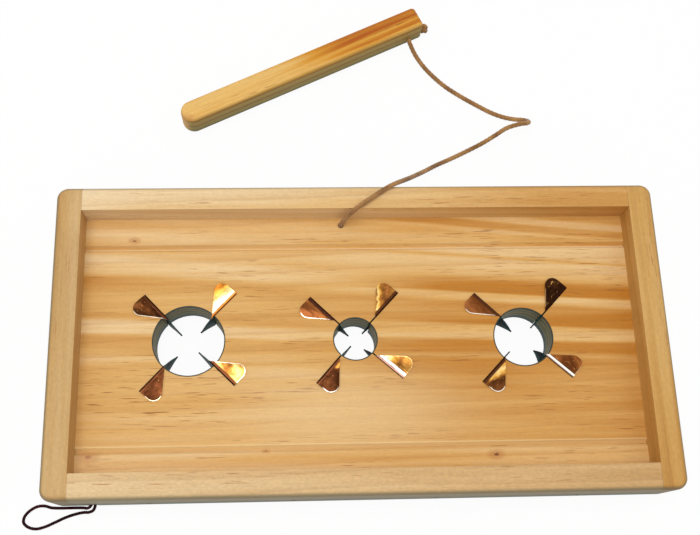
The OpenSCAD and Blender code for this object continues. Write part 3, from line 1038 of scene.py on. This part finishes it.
def tight_knot(name: str, middle: Vector, axis: Vector, across: float, tall: float, cord: float,
               tail: float = 0.0) -> bpy.types.Object:
    """Makes a pulled-tight overhand knot that fills the room of its plain solid.

    Args:
        name: The piece's name.
        middle: The knot's middle, in metres.
        axis: The direction that the cord leaves it in.
        across: Its width over the turns.
        tall: Its height along the axis.
        cord: The cord's diameter.
        tail: Length of the cord's end that goes on along the axis.

    Returns:
        The knot.
    """
    turn = axis.to_track_quat("Z", "Y").to_matrix()
    wide = (across - cord) / 2
    high = (tall - cord) / 2
    twine = partial(Twine, diameter=cord, step=0.5 * MM, sides=14, lay_length=3 * cord)
    # The cord goes twice round the axis and three times in and out, as in a trefoil
    count = 48
    points = []
    for k in range(count):
        t = math.tau * k / count
        r = wide * (0.68 + 0.32 * math.cos(3 * t))
        points.append(tuple(middle + turn @ Vector((r * math.cos(2 * t), r * math.sin(2 * t), high * math.sin(3 * t)))))
    knot = twine(name, (*points, points[0])).build()
    if tail:
        start = middle + axis * (tall / 2 - cord)
        ends = tuple(tuple(start + axis * tail * share) for share in (0.0, 0.5, 1.0))
        twine(name + "_tail", ends).build().parent = knot
    return knot


def in_metres(points: Sequence[Point]) -> tuple[Point, ...]:
    """Turns a route in millimetres into metres."""
    return tuple((x * MM, y * MM, z * MM) for x, y, z in points)


# The CAD model's own routes, in millimetres
TETHER_ROUTE: tuple[Point, ...] = (
    (-9.4, 68.5, 6.8), (-9.4, 68.5, 12.5), (-9.4, 68.5, 18), (-8.3, 69.2, 23.2), (-6, 70.1, 28.4),
    (-2.9, 71.2, 33.4), (1.9, 74.4, 35.6), (7.6, 78.5, 35.1), (13, 82.3, 34.8), (18.5, 86, 33.95),
    (22.8, 88.9, 31.85), (26.8, 91.94, 28.2), (31.18, 95.86, 22.8), (36.46, 100.88, 16.2), (43.07, 106.54, 9.9),
    (50.83, 112.45, 5.2), (60.3, 118, 2.2), (70.67, 123.34, 1.7), (80.38, 127.5, 4.4), (87.87, 130.87, 8.2),
    (95.04, 134.66, 10.6), (104.43, 137.23, 11.26), (106.94, 137.8, 10.55), (108.85, 138.97, 9.13),
    (109.86, 140.53, 7.22), (109.77, 142.22, 5.17), (108.61, 143.74, 3.32), (106.57, 144.84, 2),
    (104.02, 145.31, 1.43), (96.91, 146.67, 1.42), (88.92, 149.76, 1.42), (79.19, 155.45, 1.42),
    (69.47, 161.72, 1.42), (60.97, 168.03, 1.42), (53.74, 175.07, 1.42), (47.76, 182.37, 1.42),
    (43.52, 189.35, 1.42), (41.08, 193.66, 2.6), (37.9, 201.4, 4.5),
)
LOOP_ROUTE: tuple[Point, ...] = (
    (-146.1, -77.6, 5), (-146.1, -82.5, 5), (-146.1, -87.4, 5), (-147.1, -89.8, 4.4), (-149.6, -90.8, 2.9),
    (-153, -90.8, 1.5), (-157.8, -91.7, 0.9), (-163, -93.4, 0.9), (-168.3, -95.8, 0.9),
    (-173.5, -98, 0.9), (-178.2, -99, 0.9), (-182.4, -98, 0.9), (-185, -95.6, 0.9), (-184.8, -92.6, 0.9),
    (-182.3, -89.5, 0.9), (-178.3, -87.2, 0.9), (-174.2, -86.9, 0.9), (-170.6, -87.9, 0.9),
    (-166, -88.2, 0.9), (-161, -88.2, 0.9), (-156.4, -88.2, 1), (-152.6, -88.4, 1.9),
    (-150.9, -88.7, 3.5), (-149.4, -88.3, 4.3), (-148.3, -87.1, 4.8), (-147.9, -85.3, 5), (-147.9, -81.5, 5),
    (-147.9, -77.6, 5),
)


@dataclass
class Tether:
    """The twine from the panel to the pusher, with the knot under the panel and the one at the pusher's end.
    """

    diameter: float = 2.8 * MM
    exit: Point = (-9.4 * MM, 68.5 * MM, 18 * MM)
    lift_start: Point = (70 * MM, 143 * MM, 0.0)
    lift_end: Point = (70 * MM, 201 * MM, 0.0)
    finish: TwistedFibre = field(default_factory=lambda: TwistedFibre(
        "twisted_jute_twine", dark="#543418", mid="#946630", light="#C2945A", hair=0.35, roughness=0.85, sheen=0.3))

    def build(self) -> None:
        material = self.finish.material()
        twine = Twine("tether", in_metres(TETHER_ROUTE), self.diameter)
        line = twine.line()
        piece = twine.build()
        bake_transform(piece)
        hand_over(piece, material, "twisted jute twine", stands_for="tether_cord")

        low, high = (Vector(v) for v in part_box("tether_panel_knot"))
        under = tight_knot("panel_knot", (low + high) / 2, Vector((0, 0, 1)), high.x - low.x, high.z - low.z,
                           self.diameter)
        end = Pusher().end_frame()
        tall = 1.8 * self.diameter
        outer = tight_knot("end_knot", end @ Vector((tall / 2, 0, 0)), -(end.to_3x3() @ Vector((1, 0, 0))),
                           2.4 * self.diameter, tall, self.diameter, tail=10 * MM)
        for knot, body, node in ((under, Body.BOARD, "tether_panel_knot"), (outer, Body.PUSHER, "pusher_knot")):
            hand_over(knot, material, "pulled-tight twine knot", body, node)


@dataclass
class HangingLoop:
    """The thin dark cord that the board hangs by, out of the front rail and back into it."""

    diameter: float = 1.7 * MM
    exit: Point = (-146.1 * MM, -87.4 * MM, 5 * MM)
    finish: TwistedFibre = field(default_factory=lambda: TwistedFibre(
        "twisted_waxed_cord", dark="#0C0204", mid="#24080C", light="#4A1A1E", hair=0.25, roughness=0.8, sheen=0.0,
        shine=0.1))

    def build(self) -> None:
        material = self.finish.material()
        cord = Twine("hanging_cord", in_metres(LOOP_ROUTE), self.diameter, lay_length=4.2 * MM, groove=0.22,
                     step=0.3 * MM, sides=18)
        line = cord.line()
        piece = cord.build()
        hand_over(piece, material, "twisted cord", Body.BOARD, "hanging_loop")
        low, high = (Vector(v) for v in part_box("loop_knot"))
        knot = tight_knot("rail_knot", (low + high) / 2, Vector((0, -1, 0)), high.x - low.x, high.y - low.y,
                          self.diameter)
        hand_over(knot, material, "pulled-tight cord knot", Body.BOARD, "loop_knot")


# Wood


@dataclass
class Tray:
    """The nailed pine frame."""

    finishes: dict[str, PlanedPine] = field(default_factory=lambda: {
        "left_stile": PlanedPine("planed_pine_left_stile", pale="#D0B07E", mid="#C0985E", warm="#B08244",
                                 late="#986838", turn=90, slope=0.0, fan=0.0, mottle=0.06, band=0.35, seed=2.3,
                                 foot=0.85),
        "right_stile": PlanedPine("planed_pine_right_stile", pale="#D2AB6A", mid="#C2914A", warm="#A67230",
                                  late="#905A24", turn=90, slope=0.0, fan=0.0, mottle=0.06, band=0.3, seed=8.9,
                                  foot=0.85),
        "back_rail": PlanedPine("planed_pine_back_rail", pale="#E9D1A9", mid="#DAB276", warm="#C48E48",
                                late="#A87438", slope=0.0, fan=0.0, band=0.25, drift=0.8, mottle=0.05, seed=14.1,
                                seam_x=155.6, foot=0.85),
        "front_rail": PlanedPine("planed_pine_front_rail", pale="#DCBF90", mid="#D2AC78", warm="#BA9058",
                                 late="#9E703C", slope=0.0, fan=0.0, band=0.25, drift=0.6, mottle=0.08, seed=19.7,
                                 seam_x=155.6, foot=0.95),
    })

    def build(self) -> None:
        """Dresses the stiles, the rails and the nails."""
        for name, finish in self.finishes.items():
            hand_over(frame["nodes"][name], finish.material(), "planed pine")
        steel = DrawnSteel().material()
        for name in ("corner_nails", "panel_nails"):
            hand_over(frame["nodes"][name], steel, "wire nails")


@dataclass
class Panel:
    """The three tongue-and-groove boards."""

    finishes: dict[str, PlanedPine] = field(default_factory=lambda: {
        "back_board": PlanedPine(
            "planed_pine_back_board", seed=4.4, wave=3.0,
            left_bands=((45.0, 0.4), (52.0, 0.3), (58.0, 0.4), (64.0, 0.25), (72.0, 0.3)),
            right_bands=((62.0, 0.5), (69.0, 0.6), (71.5, 0.35), (73.5, 0.75), (77.0, 0.7), (78.5, 0.3),
                         (81.5, 0.3), (83.5, 0.65), (88.0, 0.6)),
            knots=(Knot(-127.8, 60.0, 1.1, core="#7A4018"),),
            # Painted shade at the back joint's groove
            stripes=(Stripe(55.8, 57.2, "#B87E3C", 0.3),)),
        "centre_board": PlanedPine(
            "planed_pine_centre_board", seed=1.2, holes=tuple(Hole),
            left_bands=((-62.0, 0.5), (-50.0, 0.48), (-38.0, 0.5), (-28.0, 0.52), (-18.0, 0.42), (-10.0, 0.5),
                        (-7.0, 0.62), (-2.0, 0.62), (0.0, 0.15), (4.0, 0.15), (6.5, 0.6), (18.0, 0.55),
                        (26.0, 0.72), (29.0, 0.6), (32.0, 0.3), (39.0, 0.2), (42.0, 0.45), (46.0, 0.42)),
            duct_fields=((-105.0, -30.0, 58.0, 19.0), (125.0, 29.0, 40.0, 4.0), (132.0, -50.0, 30.0, 4.0),
                         (20.0, -20.0, 14.0, 6.0)),
            # A broad patch of painted glare
            glare_field=(-5.0, -42.0, 70.0, 26.0),
            right_bands=((-64.0, 0.65), (-50.0, 0.7), (-36.0, 0.8), (-24.0, 0.75), (-19.0, 0.92), (-12.0, 0.85),
                         (-9.0, 0.55), (-6.0, 0.95), (0.0, 0.95), (2.0, 0.45), (9.0, 0.45), (11.0, 0.95), (23.0, 0.9),
                         (25.5, 0.4), (29.0, 0.4), (30.5, 1.0), (38.0, 0.9), (42.0, 0.45), (51.0, 0.35),
                         (53.0, 0.65), (55.0, 0.3), (66.0, 0.35)),
            # Painted highlights on the arrises at both joints
            stripes=(Stripe(-60.2, -57.6, "#F4DAA2", 0.4), Stripe(54.0, 55.6, "#F2D8AA", 0.75),)),
        "front_board": PlanedPine(
            "planed_pine_front_board", seed=6.1, wave=2.0,
            left_bands=((-78.0, 0.25), (-70.0, 0.38), (-64.0, 0.4), (-60.0, 0.2)),
            right_bands=((-80.0, 0.35), (-71.0, 0.4), (-66.0, 0.5), (-60.0, 0.35)),
            knots=(Knot(-148.4, -63.0, 1.8, core="#A05A3C", depth=0.6), Knot(71.6, -65.4, 1.4),
                   Knot(109.0, -72.4, 0.5, core="#2A1A14"), Knot(-53.4, -61.2, 0.7)),
            # Painted shade at the front joint's groove
            stripes=(Stripe(-61.6, -60.4, "#B67C3C", 0.15),)),
    })

    def build(self) -> None:
        """Dresses the boards."""
        for name, finish in self.finishes.items():
            hand_over(frame["nodes"][name], finish.material(), "planed pine")


@dataclass
class Pusher:
    """The loose wooden bar that presses the olives through."""

    middle: tuple[float, float] = (-29.4, 176.6)
    turn: float = 25.2
    length: float = 162.8
    bore: tuple[float, float] = (-4.3, 4.5)
    finish: PlanedPine = field(default_factory=lambda: PlanedPine(
        "sanded_pine_pusher", pale="#E2B76A", mid="#D29228", warm="#AC5604", late="#98480A", duct="#86460F",
        turn=25.2, slope=0.0, fan=0.0, turnover=(-48.0, 12.0), wave=2.0,
        left_bands=((164.0, 0.2), (168.0, 0.0), (172.0, 0.15), (176.0, 0.0), (181.0, 0.2)),
        right_bands=((164.0, 0.45), (167.0, 0.3), (169.5, 0.8), (171.5, 0.5), (174.0, 0.95), (177.0, 0.75),
                     (181.0, 0.95)),
        # The bar's side towards the front gets painted shade
        band=0.2, streak=0.22, ring_gap=5.0, ring_depth=0.3, shaded_side=(0.4258, -0.9048, 0.0), seed=3.3,
        knots=(Knot(-99.8, 140.0, 1.3, core="#A8641E", depth=0.7),)))

    def end_frame(self) -> Matrix:
        """Gives the place and turn of the cord end's bore."""
        where = Matrix.Translation((self.middle[0] * MM, self.middle[1] * MM, 0.0))
        inside = Matrix.Translation((self.length / 2 * MM, self.bore[0] * MM, self.bore[1] * MM))
        return where @ Matrix.Rotation(math.radians(self.turn), 4, "Z") @ inside

    def build(self) -> None:
        """Dresses the bar."""
        hand_over(frame["nodes"]["pusher"], self.finish.material(), "sanded pine")


# Blades


# What the petals' painted reflections share: gold and straw where the steel mirrors a warm room, and the lamp's
# white where the sheet mirrors it
GOLD = "#DFA348"
STRAW = "#F8DC98"
WHITE = "#FFFAEE"

PETAL_REFLECTIONS: dict[tuple[Hole, int], PetalReflection] = {
    (Hole.LARGE, 0): PetalReflection(((0.0, "#FFF8EA"), (0.25, "#FFF0D2"), (0.5, "#F0D090"), (0.75, GOLD), (1.0, "#A06020")), 82.0,
                          (1.0, 11.0), fold="#A8682C", fold_reach=1.3, line="#8A5020", waves=0.4, glints=0.0),
    (Hole.LARGE, 1): PetalReflection(((0.0, "#3C1E0E"), (0.4, "#2C160A"), (0.7, "#4A2812"), (1.0, "#4A2A14")), 70.0,
                          (1.0, 11.0), rim="#FFF0D8", rim_depth=0.9, waves=3.0, glints=0.15),
    (Hole.LARGE, 2): PetalReflection(((0.0, "#341A0C"), (0.5, "#58301A"), (1.0, "#3A1E0E")), 40.0, (4.0, 19.0),
                          rim="#FFE8C0", rim_depth=0.9, waves=3.0, glints=0.25),
    (Hole.LARGE, 3): PetalReflection(((0.0, "#E4C48C"), (0.2, "#C89A54"), (0.4, "#A87234"), (0.54, "#7A4A20"), (0.68, "#A06A2C"),
                           (0.84, "#D8AE68"), (1.0, "#B8843E")), 35.0, (2.0, 18.0), rim="#FFF2D8", rim_depth=0.8,
                          rim_all_round=True, waves=1.6, glints=0.15),
    (Hole.SMALL, 0): PetalReflection(((0.0, "#B07A34"), (0.25, "#8A5626"), (0.5, "#744620"), (0.66, "#9A6428"), (0.74, GOLD),
                           (0.8, "#F4D488"), (0.86, "#9A6428"), (1.0, "#744420")), 129.0, (-10.5, 1.5), rim=GOLD,
                          waves=0.7, glints=0.4),
    (Hole.SMALL, 1): PetalReflection(((0.0, "#6A3A20"), (0.35, "#8A5228"), (0.7, "#7A4422"), (1.0, "#744222")), 80.0,
                          (1.0, 10.0), fold="#44241A", fold_reach=2.0, rim=WHITE, rim_depth=1.0, waves=1.2,
                          glints=0.1),
    (Hole.SMALL, 2): PetalReflection(((0.0, "#B07A34"), (0.15, "#5E341A"), (0.4, "#341A0C"), (1.0, "#4A2814")), 60.0,
                          (3.0, 15.0), rim=WHITE, rim_depth=0.7, waves=2.5, glints=0.15),
    (Hole.SMALL, 3): PetalReflection(((0.0, WHITE), (0.3, STRAW), (0.45, "#C08636"), (0.7, "#70441C"), (1.0, "#A87434")), 25.0,
                          (2.0, 18.0), fold=WHITE, fold_reach=2.8, line="#6A341A", line_reach=1.3, rim=STRAW,
                          rim_depth=0.5, rim_all_round=True, waves=1.2, glints=1.0),
    (Hole.MEDIUM, 0): PetalReflection(((0.0, "#30190C"), (0.6, "#241208"), (0.8, "#3E2210"), (1.0, "#30190C")), 60.0,
                           (0.0, 17.0), fold="#28140A", waves=2.0, glints=0.4),
    (Hole.MEDIUM, 1): PetalReflection(((0.0, "#7A4622"), (0.4, "#6A3A1A"), (0.7, "#7E4822"), (1.0, "#985C32")), 80.0,
                           (1.0, 10.0), rim=WHITE, rim_depth=1.0, waves=1.5, glints=0.1),
    (Hole.MEDIUM, 2): PetalReflection(((0.0, "#9A6226"), (0.2, GOLD), (0.35, "#F8D488"), (0.5, GOLD), (0.65, "#8A5626"),
                            (0.8, "#4A2812"), (1.0, "#6A3E1E")), 66.0, (1.5, 13.0), rim=WHITE, rim_depth=0.9,
                           waves=1.2, glints=0.6),
    (Hole.MEDIUM, 3): PetalReflection(((0.0, "#8A5026"), (0.3, "#6E3C1A"), (0.6, "#5A3016"), (0.85, "#7C4620"),
                            (1.0, "#94582A")), 50.0, (5.0, 18.0), fold=WHITE, fold_reach=1.7, line="#4A2614",
                           line_reach=0.6, rim="#F0C890", rim_depth=0.5, waves=2.0, glints=0.5),
}


@dataclass(frozen=True)
class BladeSet:
    """The four blades of one hole, from the right back one anticlockwise. Millimetres and degrees.

    A heel is how far a blade reaches out from the hole's rim, a nose how far it stands into the hole, and a turn
    how far it is off its diagonal.
    """

    hole: Hole
    heels: tuple[float, float, float, float]
    noses: tuple[float, float, float, float]
    turns: tuple[float, float, float, float]

    def angle(self, number: int) -> float:
        """Gives the direction of a blade's fold, in degrees."""
        return 45 + 90 * number + self.turns[number]


@dataclass
class Blades:
    """Twelve blades folded from sheet: a fin in the kerf and a petal on the panel. Millimetres."""

    sheet: float = 0.8
    petal_l: float = 19.2
    petal_r: float = 4.5
    petal_angle: float = 39.0
    fin_d: float = 16.0
    tail_d: float = 12.0
    tip_drop: float = 7.0
    arris: float = 0.1
    sharp_angle: float = 35.0
    nose_columns: int = 10
    petal_columns: int = 22
    fin_rows: int = 8
    fold_rows: int = 5
    petal_rows: int = 10
    sets: tuple[BladeSet, ...] = (
        BladeSet(Hole.LARGE, (18.2, 17.0, 18.8, 16.5), (10.0, 11.0, 9.5, 10.0), (1.0, -2.0, 2.0, 0.0)),
        BladeSet(Hole.SMALL, (24.5, 23.0, 21.5, 22.5), (11.0, 11.0, 11.0, 8.5), (2.0, 0.5, 3.5, 3.5)),
        BladeSet(Hole.MEDIUM, (23.0, 20.5, 19.2, 18.7), (11.0, 11.0, 7.0, 6.5), (1.5, 0.5, 1.0, 2.5)),
    )

    def start(self, place: BladeSet, number: int) -> float:
        """Gives how far from its hole's middle a blade's petal begins."""
        return place.hole.radius + place.heels[number] - self.petal_l

    def corner(self) -> tuple[float, float]:
        """Gives the middle of the petal's round corner, along its fold and across it."""
        slope = math.radians(self.petal_angle)
        along = self.petal_l - self.petal_r
        return along, (along * math.sin(slope) - self.petal_r) / math.cos(slope)

    def petal_width(self, u: float) -> float:
        """Gives the petal's reach across at a place along its fold."""
        slope = math.radians(self.petal_angle)
        along, across = self.corner()
        if u <= along - self.petal_r * math.sin(slope):
            return u * math.tan(slope)
        return across + math.sqrt(max(0.0, self.petal_r**2 - (u - along) ** 2))

    def outline(self, nose: float) -> tuple[list, list]:
        """Gives the fin's upper and lower edges as matched points.

        Args:
            nose: How far the nose stands into the hole.

        Returns:
            Upper and lower points (u, depth), from the nose's tip to the blade's outer end.
        """
        tip = (-nose, -self.tip_drop)
        top, foot = [], []
        for k in range(self.nose_columns, 0, -1):
            # Each edge of the nose is one bend between the fin and the tip, pulled towards a third point
            t = k / self.nose_columns
            for edge, root, pull in ((top, (0.0, 0.0), (-0.55 * nose, -0.1 * self.tip_drop)),
                                     (foot, (0.0, -self.fin_d), (-0.6 * nose, -1.3 * self.tip_drop))):
                edge.append(tuple((1 - t) ** 2 * a + 2 * t * (1 - t) * b + t * t * c
                                  for a, b, c in zip(root, pull, tip)))
        for k in range(self.petal_columns + 1):
            # Closer columns at the outer end follow the petal's round corner
            u = self.petal_l * math.sin(k / self.petal_columns * math.pi / 2)
            top.append((u, 0.0))
            foot.append((u, -self.fin_d + (self.fin_d - self.tail_d) * u / self.petal_l))
        return top, foot

    def blade(self, place: BladeSet, number: int) -> bpy.types.Object:
        """Makes one blade as a closed sheet.

        Args:
            place: Its hole and the sizes round it.
            number: Which of the four it is, from 0.

        Returns:
            The blade.
        """
        half = self.sheet / 2
        top, foot = self.outline(place.noses[number])
        angle = math.radians(place.angle(number))
        start = self.start(place, number)
        phase = 1.7 * number + 0.9 * place.hole.x

        def at(u: float, s: float, z: float) -> Vector:
            """Turns the blade's own axes into the board's, in metres."""
            out = start + u
            return Vector((place.hole.x + out * math.cos(angle) - s * math.sin(angle),
                           HOLE_Y + out * math.sin(angle) + s * math.cos(angle), PANEL_TOP + z)) * MM

        grids = []
        for side in (-1.0, 1.0):
            columns = []
            for k, (upper, lower) in enumerate(zip(top, foot)):
                column = []
                for r in range(self.fin_rows + 1):
                    share = r / self.fin_rows
                    u = lower[0] + (upper[0] - lower[0]) * share
                    z = lower[1] + (upper[1] - lower[1]) * share
                    # The nose is ground thin along its upper edge
                    thin = 1.0 if k >= self.nose_columns else max(0.25, 1 - 0.9 * max(0.0, share - 0.55) / 0.45)
                    column.append(at(u, side * half * thin, z))
                if k >= self.nose_columns:
                    # The fold is as tight as the sheet allows: no room inside it, and a round back outside
                    u = upper[0]
                    radius = half - side * half * 0.98
                    for r in range(1, self.fold_rows + 1):
                        turn = math.pi / 2 * r / self.fold_rows
                        column.append(at(u, half - radius * math.cos(turn), radius * math.sin(turn)))
                    # Folding by hand leaves the petal a little wavy, most of all away from its fold
                    wide = max(self.petal_width(u), 0.02)
                    for r in range(1, self.petal_rows + 1):
                        s = wide * r / self.petal_rows
                        lift = 0.22 * (u / self.petal_l) * (s / 9) * (1 + math.sin(phase + 0.35 * u - 0.5 * s))
                        column.append(at(u, half + s, radius + lift))
                columns.append(column)
            grids.append(columns)

        verts, number_of, faces = [], {}, []
        for g, columns in enumerate(grids):
            for k, column in enumerate(columns):
                for r, point in enumerate(column):
                    number_of[g, k, r] = len(verts)
                    verts.append(point)
        # Columns before the first of the petal are the nose's, and rows over the edge are the fold's and the petal's
        first, last = self.nose_columns, len(top) - 1
        edge, full = self.fin_rows, self.fin_rows + self.fold_rows + self.petal_rows
        for g in (0, 1):
            for k in range(last):
                for r in range(edge if k < first else full):
                    face = [number_of[g, k, r], number_of[g, k + 1, r], number_of[g, k + 1, r + 1],
                            number_of[g, k, r + 1]]
                    faces.append(face if g == 0 else face[::-1])
        # The edges all round join the two faces: foot, outer end, petal edge, fold's start, nose edge and tip
        rim = [(k, 0) for k in range(last + 1)]
        rim += [(last, r) for r in range(1, full + 1)]
        rim += [(k, full) for k in range(last - 1, first - 1, -1)]
        rim += [(first, r) for r in range(full - 1, edge - 1, -1)]
        rim += [(k, edge) for k in range(first - 1, -1, -1)]
        rim += [(0, r) for r in range(edge - 1, 0, -1)]
        for a, b in zip(rim, rim[1:] + rim[:1]):
            faces.append([number_of[(1, *a)], number_of[(1, *b)], number_of[(0, *b)], number_of[(0, *a)]])
        piece = new_mesh(f"{place.hole.label}_petal_blade_{number + 1}", verts, faces, self.sharp_angle)
        self._clean(piece)
        return piece

    def _clean(self, piece: bpy.types.Object) -> None:
        """Merges the tip's doubled points, turns the faces outwards and breaks the sheet's sharp edges."""
        form = bmesh.new()
        form.from_mesh(piece.data)
        bmesh.ops.remove_doubles(form, verts=form.verts, dist=0.012 * MM)
        bmesh.ops.recalc_face_normals(form, faces=form.faces)
        form.to_mesh(piece.data)
        form.free()
        piece.data.set_sharp_from_angle(angle=math.radians(self.sharp_angle))
        edge = piece.modifiers.new("broken_edges", "BEVEL")
        edge.width = self.arris * MM
        edge.segments = 2
        # The fold's facets turn by 18 degrees and the sheet's own edges by about 90
        edge.limit_method = "ANGLE"
        edge.angle_limit = math.radians(50)

    def reflection(self, place: BladeSet, number: int) -> ReflectionPaintedSteel:
        """Gives a blade its own painted reflection.

        Args:
            place: Its hole.
            number: Which of the four it is, from 0.

        Returns:
            The finish.
        """
        angle = place.angle(number)
        way = math.radians(angle)
        start = self.start(place, number)
        origin = (place.hole.x + start * math.cos(way), HOLE_Y + start * math.sin(way))
        along, across = self.corner()
        return ReflectionPaintedSteel(f"polished_stainless_sheet_{place.hole.label}_{number + 1}", origin, angle,
                           PETAL_REFLECTIONS[place.hole, number], 1.3 * number + 0.11 * place.hole.x,
                           (along, across + self.sheet / 2, 0.0), self.petal_r, self.petal_angle)

    def build(self) -> None:
        """Makes and dresses the twelve blades."""
        for place in self.sets:
            for number in range(4):
                hand_over(self.blade(place, number), self.reflection(place, number).material(),
                          "folded steel blade", Body.BOARD, f"{place.hole.label}_blade_{number + 1}")


def main() -> None:
    """Builds the camera, the cords, the room and every piece of the board."""
    logging.basicConfig(level=logging.INFO, format="%(name)s %(message)s")
    PhotoCamera().build()
    Tether().build()
    HangingLoop().build()
    Studio().build()
    Tray().build()
    Panel().build()
    Pusher().build()
    Blades().build()


if __name__ == "__main__":
    main()
